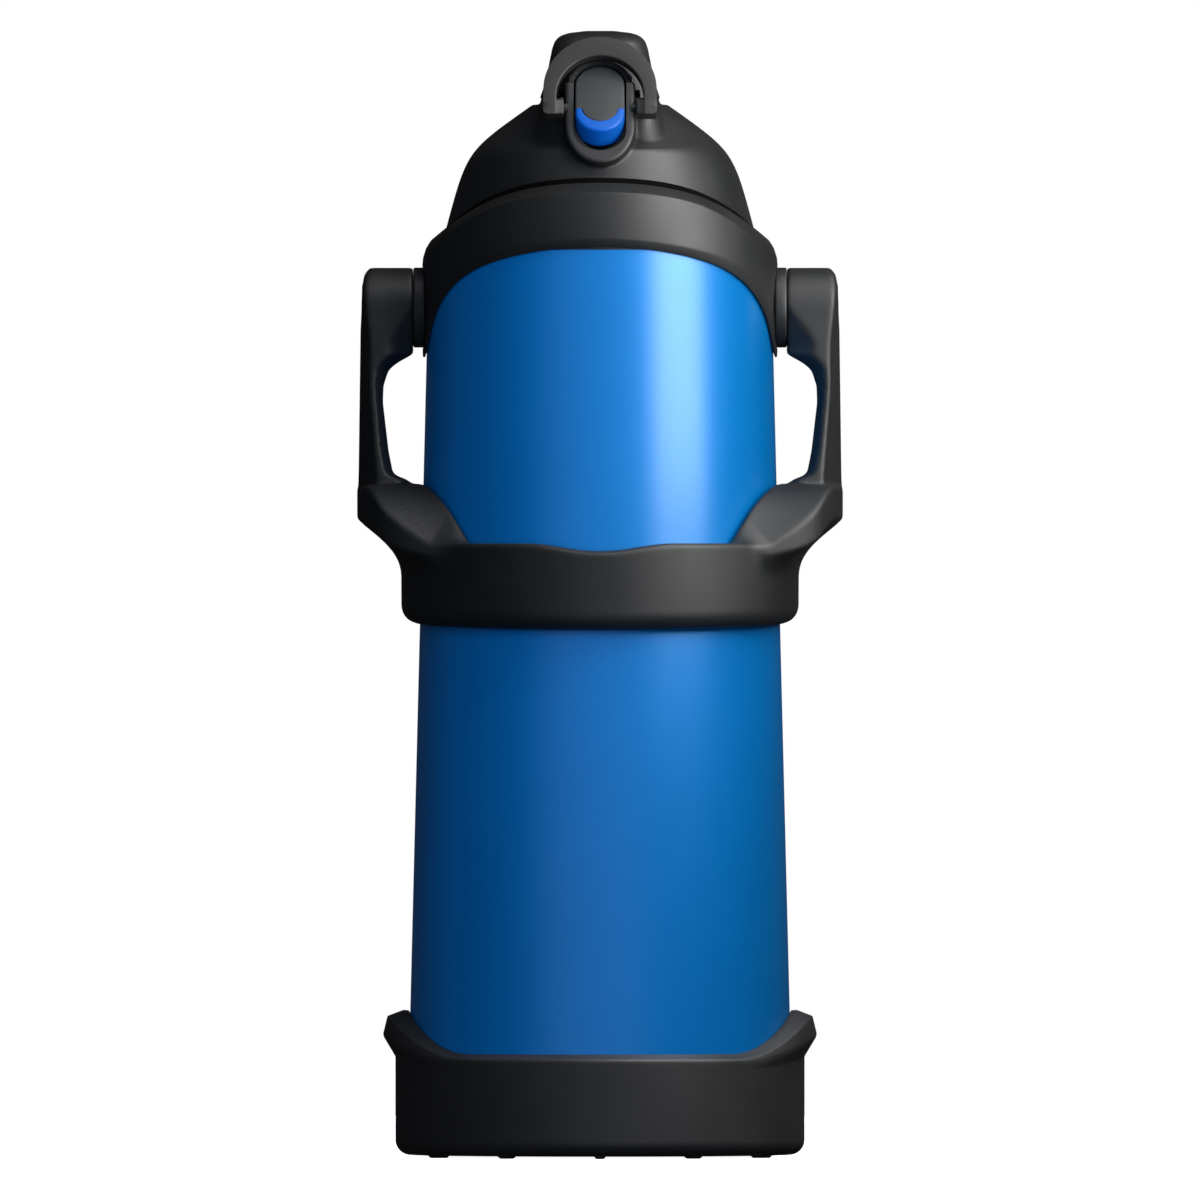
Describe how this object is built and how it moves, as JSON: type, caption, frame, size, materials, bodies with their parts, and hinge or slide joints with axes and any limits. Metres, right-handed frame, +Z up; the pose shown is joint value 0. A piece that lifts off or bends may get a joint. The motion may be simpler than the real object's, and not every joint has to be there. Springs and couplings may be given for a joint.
{
  "type": "vacuum insulated water jug",
  "caption": "Large double-walled steel water jug with a shoulder collar, a swinging carry handle, a bottom boot and a screw lid with a sprung flip cap, lock ring and push button.",
  "frame": {"origin": "centre of the footprint, on the surface that the jug stands on", "axes": "+Z up along the jug's axis, -Y towards the front with the push button, +X to the right seen from the front; the handle's pivots lie along X"},
  "size_m": [0.17, 0.1434, 0.394],
  "materials": {
    "blue_paint": "satin clear-coated blue powder paint",
    "steel": "brushed stainless steel",
    "foil": "crinkled bright foil",
    "black_plastic": "fine-grained moulded black plastic",
    "boot_rubber": "matte fine-grained black elastomer",
    "grey_plastic": "satin dark grey plastic",
    "grey_inlay": "fine-grained dark grey plastic",
    "blue_plastic": "semi-gloss blue plastic",
    "white_foam": "moulded foam",
    "silicone": "matte translucent silicone"
  },
  "bodies": {
    "jug": {"outer_shell": "blue_paint", "outer_base": "steel", "vacuum_seal": "steel", "getter_capsule": "steel", "inner_tank": "steel", "radiation_foil": "foil", "collar": "black_plastic", "collar_retaining_ring": "steel", "base_boot": "boot_rubber", "pivot_washer_left": "black_plastic", "pivot_washer_right": "black_plastic", "pivot_screw_left": "steel", "pivot_screw_right": "steel"},
    "handle": {"carry_handle": "black_plastic", "pivot_cap_left": "black_plastic", "pivot_cap_right": "black_plastic"},
    "lid_seal": {"lid_gasket": "silicone"},
    "lid": {"lid_shell": "black_plastic", "lid_inner": "grey_plastic", "lid_insulation": "white_foam", "spout": "grey_plastic", "spout_gasket": "silicone", "cap_hinge_pin": "steel", "cap_spring": "steel", "button_spring": "steel"},
    "cap": {"flip_cap": "black_plastic", "cap_liner": "grey_plastic", "cap_seal": "silicone"},
    "lock": {"lock_ring": "black_plastic"},
    "button": {"push_button": "blue_plastic", "button_plate": "grey_inlay"}
  },
  "joints": [
    {"name": "handle_swing", "type": "hinge", "parent": "jug", "child": "handle", "pos_m": [0, 0, 0.2973], "axis": [1, 0, 0], "range_deg": [-143, 0]},
    {"name": "lid_lift", "type": "slide", "parent": "jug", "child": "lid_seal", "axis": [0, 0, 1], "range_m": [0, 0.08]},
    {"name": "lid_turn", "type": "hinge", "parent": "lid_seal", "child": "lid", "pos_m": [0, 0, 0.33], "axis": [0, 0, 1], "range_deg": [0, 270]},
    {"name": "cap_flip", "type": "hinge", "parent": "lid", "child": "cap", "pos_m": [0, 0.0205, 0.3708], "axis": [-1, 0, 0], "range_deg": [0, 120]},
    {"name": "lock_swing", "type": "hinge", "parent": "lid", "child": "lock", "pos_m": [0, -0.04228, 0.3665], "axis": [1, 0, 0], "range_deg": [0, 130]},
    {"name": "button_press", "type": "slide", "parent": "lid", "child": "button", "axis": [0, 0.766, -0.6428], "range_m": [0, 0.002], "stiffness_N_per_m": 300, "springref_m": -0.002}
  ]
}
